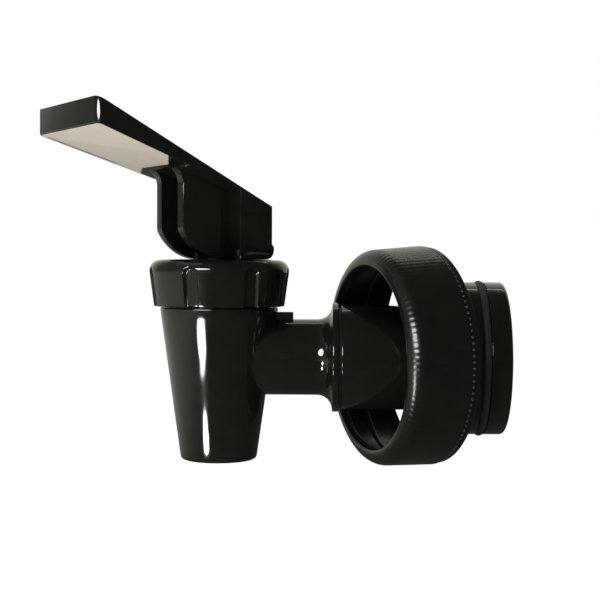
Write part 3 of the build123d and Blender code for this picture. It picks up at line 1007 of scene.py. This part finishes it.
# %% [markdown]
# ## Floor and surroundings
# A pale floor lies below the spout. The picture's ground is white, which comes from what the camera sees of
# floor and surroundings, and not from more light on the tap. Black gloss shows what stands around it, and in
# an all-white room it would turn grey. So the gloss sees a dim room that is brighter on the left and bright
# behind the tap, over a floor that is bright on the left only.

# %% Floor
FLOOR_Z, FLOOR_SIZE, FLOOR_CELLS = -120 * MM, 6.0, 8
FLOOR_PAINT = (0.82, 0.82, 0.80)
MIRRORED_DIM, MIRRORED_BRIGHT = (0.08, 0.08, 0.07), (0.95, 0.98, 0.80)
BRIGHT_UP_TO, DIM_FROM = -0.6, -0.1
GROUND_GLOW, GROUND_SHARE = 1.02, 0.98
WHITE = (1, 1, 1, 1)


def smooth_ramp(tree, value, places, results):
    """Smooth change of a value, between two places, from one result to another."""
    ramp = node(tree, "ShaderNodeMapRange", interpolation_type="SMOOTHSTEP")
    sockets = ("From Min", "From Max", "To Min", "To Max")
    for socket, number in zip(sockets, (*places, *results)):
        ramp.inputs[socket].default_value = number
    tree.links.new(value, ramp.inputs["Value"])
    return ramp.outputs["Result"]


def split_place(tree, kind):
    """The X, Y and Z of one kind of texture coordinate."""
    place = node(tree, "ShaderNodeTexCoord")
    split = node(tree, "ShaderNodeSeparateXYZ")
    tree.links.new(place.outputs[kind], split.inputs[0])
    return split.outputs


def make_floor_paint():
    material = bpy.data.materials.new("pale_floor")
    material.use_nodes = True
    tree = material.node_tree
    tree.nodes.clear()
    out = node(tree, "ShaderNodeOutputMaterial")
    paint = node(tree, "ShaderNodeBsdfDiffuse")
    glow = node(tree, "ShaderNodeEmission", Color=WHITE, Strength=GROUND_GLOW)
    path = node(tree, "ShaderNodeLightPath")
    left = smooth_ramp(tree, split_place(tree, "Object")["X"], (BRIGHT_UP_TO, DIM_FROM), (1.0, 0.0))
    mirrored = blend_colour(tree, left, MIRRORED_DIM, MIRRORED_BRIGHT)
    tone = blend_colour(tree, path.outputs["Is Glossy Ray"], FLOOR_PAINT, mirrored)
    tree.links.new(tone, paint.inputs["Color"])
    seen = node(tree, "ShaderNodeMath", operation="MULTIPLY")
    seen.inputs[1].default_value = GROUND_SHARE
    mix = node(tree, "ShaderNodeMixShader")
    tree.links.new(path.outputs["Is Camera Ray"], seen.inputs[0])
    tree.links.new(seen.outputs[0], mix.inputs["Fac"])
    tree.links.new(paint.outputs[0], mix.inputs[1])
    tree.links.new(glow.outputs[0], mix.inputs[2])
    tree.links.new(mix.outputs[0], out.inputs["Surface"])
    return material


def make_floor():
    bm = bmesh.new()
    bmesh.ops.create_grid(bm, x_segments=FLOOR_CELLS, y_segments=FLOOR_CELLS, size=FLOOR_SIZE / 2)
    floor = drawn_piece("floor", bm)
    floor.location = (0, 0, FLOOR_Z)
    floor.data.materials.append(make_floor_paint())
    return floor


make_floor()
print("floor at", FLOOR_Z)

# %% Surroundings
# The room's level goes by the way that a ray takes: from left to right, and more towards the back.
ROOM_TINT = (0.97, 1.0, 0.80, 1)
ROOM_PLACES, ROOM_LEVELS = (-1.0, 0.2), (0.26, 0.06)
BEHIND_PLACES, BEHIND_LEVELS = (0.35, 0.95), (0.0, 0.7)
SOFT_LIGHT, GROUND_WHITE = 0.6, 1.0


def make_world():
    world = bpy.data.worlds.new("studio")
    world.use_nodes = True
    tree = world.node_tree
    tree.nodes.clear()
    out = node(tree, "ShaderNodeOutputWorld")
    way = split_place(tree, "Generated")
    both = node(tree, "ShaderNodeMath", operation="ADD")
    tree.links.new(smooth_ramp(tree, way["X"], ROOM_PLACES, ROOM_LEVELS), both.inputs[0])
    tree.links.new(smooth_ramp(tree, way["Y"], BEHIND_PLACES, BEHIND_LEVELS), both.inputs[1])
    room = node(tree, "ShaderNodeBackground", Color=ROOM_TINT)
    tree.links.new(both.outputs[0], room.inputs["Strength"])
    soft = node(tree, "ShaderNodeBackground", Color=WHITE, Strength=SOFT_LIGHT)
    white = node(tree, "ShaderNodeBackground", Color=WHITE, Strength=GROUND_WHITE)
    path = node(tree, "ShaderNodeLightPath")
    clear = node(tree, "ShaderNodeMath", operation="MAXIMUM")
    shine = node(tree, "ShaderNodeMixShader")
    seen = node(tree, "ShaderNodeMixShader")
    tree.links.new(path.outputs["Is Camera Ray"], clear.inputs[0])
    tree.links.new(path.outputs["Is Transmission Ray"], clear.inputs[1])
    tree.links.new(path.outputs["Is Glossy Ray"], shine.inputs["Fac"])
    tree.links.new(soft.outputs[0], shine.inputs[1])
    tree.links.new(room.outputs[0], shine.inputs[2])
    tree.links.new(clear.outputs[0], seen.inputs["Fac"])
    tree.links.new(shine.outputs[0], seen.inputs[1])
    tree.links.new(white.outputs[0], seen.inputs[2])
    tree.links.new(seen.outputs[0], out.inputs["Surface"])
    bpy.context.scene.world = world


make_world()
print("surroundings:", bpy.context.scene.world.name)

# %% [markdown]
# ## Lamps
# On black gloss a lamp is seen as its own mirror image, so each highlight of the picture is a lamp of that
# shape. Two small round windows make the two marks on the spout, a pane makes the sheen on the paddle's side,
# and a long strip draws the line along the shank. The pane shows in the gloss alone, so that it doesn't burn
# out the beige plate, and a ceiling panel does the plain lighting without a mirror image of its own.

# %% Lamps
spout_middle = Vector((stem_x, 0, -5)) * MM
paddle_tip = Vector((-76.7, -39.6, 59.0)) * MM
shank_top = Vector((-20, 0, 8)) * MM
window_middle = spout_middle + Vector((-0.072, -0.120, -0.051))
window_up = Vector((-0.204, -0.273, 0.940))
PANE_AWAY, STRIP_AWAY = 0.35, 0.5
pane_place = paddle_tip + PANE_AWAY * Vector((-0.47, -0.87, 0.15))
ceiling_place = Vector((-0.15, 0.2, 0.75))
strip_place = shank_top + STRIP_AWAY * Vector((0, 0.616, 0.787))
WINDOW_W, PANE_W, CEILING_W, STRIP_W = 0.09, 2.2, 1.6, 0.06


def area_lamp(name, place, target, size, power, shape="ELLIPSE"):
    lamp = bpy.data.lights.new(name, "AREA")
    lamp.shape = shape
    lamp.size, lamp.size_y = size
    lamp.energy = power
    obj = link(bpy.data.objects.new(name, lamp))
    obj.location = place
    obj.rotation_euler = (target - place).to_track_quat("-Z", "Y").to_euler()
    obj.visible_camera = False
    return obj


windows = {"window_upper": (0.0180, (0.046, 0.026)), "window_lower": (-0.0195, (0.036, 0.024))}
for name, (rise, size) in windows.items():
    area_lamp(name, window_middle + rise * window_up, spout_middle, size, WINDOW_W)
pane = area_lamp("window_pane", pane_place, paddle_tip, (0.26, 0.14), PANE_W)
pane.visible_diffuse = False
ceiling = area_lamp("ceiling_panel", ceiling_place, spout_middle, (0.5, 0.3), CEILING_W, "RECTANGLE")
ceiling.visible_glossy = False
area_lamp("ceiling_strip", strip_place, shank_top, (0.4, 0.012), STRIP_W, "RECTANGLE")

# %% [markdown]
# ## Camera
# The picture was taken almost level and square to the shank, from about thirty centimetres.

# %% Camera
CAMERA_PLACE = Vector((-25.4, -310.1, 21.5)) * MM
CAMERA_TARGET = Vector((-31.5, 0, 14.8)) * MM
CAMERA_ROLL = radians(0.28)
CAMERA_LENS, CAMERA_SENSOR = 71.58, 36
NEAREST_SEEN = 10 * MM


def make_camera():
    data = bpy.data.cameras.new("photo_camera")
    data.sensor_width = CAMERA_SENSOR
    data.lens = CAMERA_LENS
    data.clip_start = NEAREST_SEEN
    camera = link(bpy.data.objects.new("photo_camera", data))
    camera.location = CAMERA_PLACE
    look = (CAMERA_TARGET - CAMERA_PLACE).to_track_quat("-Z", "Y")
    camera.rotation_euler = (look.to_matrix() @ Matrix.Rotation(CAMERA_ROLL, 3, "Z")).to_euler()
    bpy.context.scene.camera = camera


make_camera()
bpy.context.scene.view_settings.view_transform = "Standard"
print("camera lens", CAMERA_LENS)
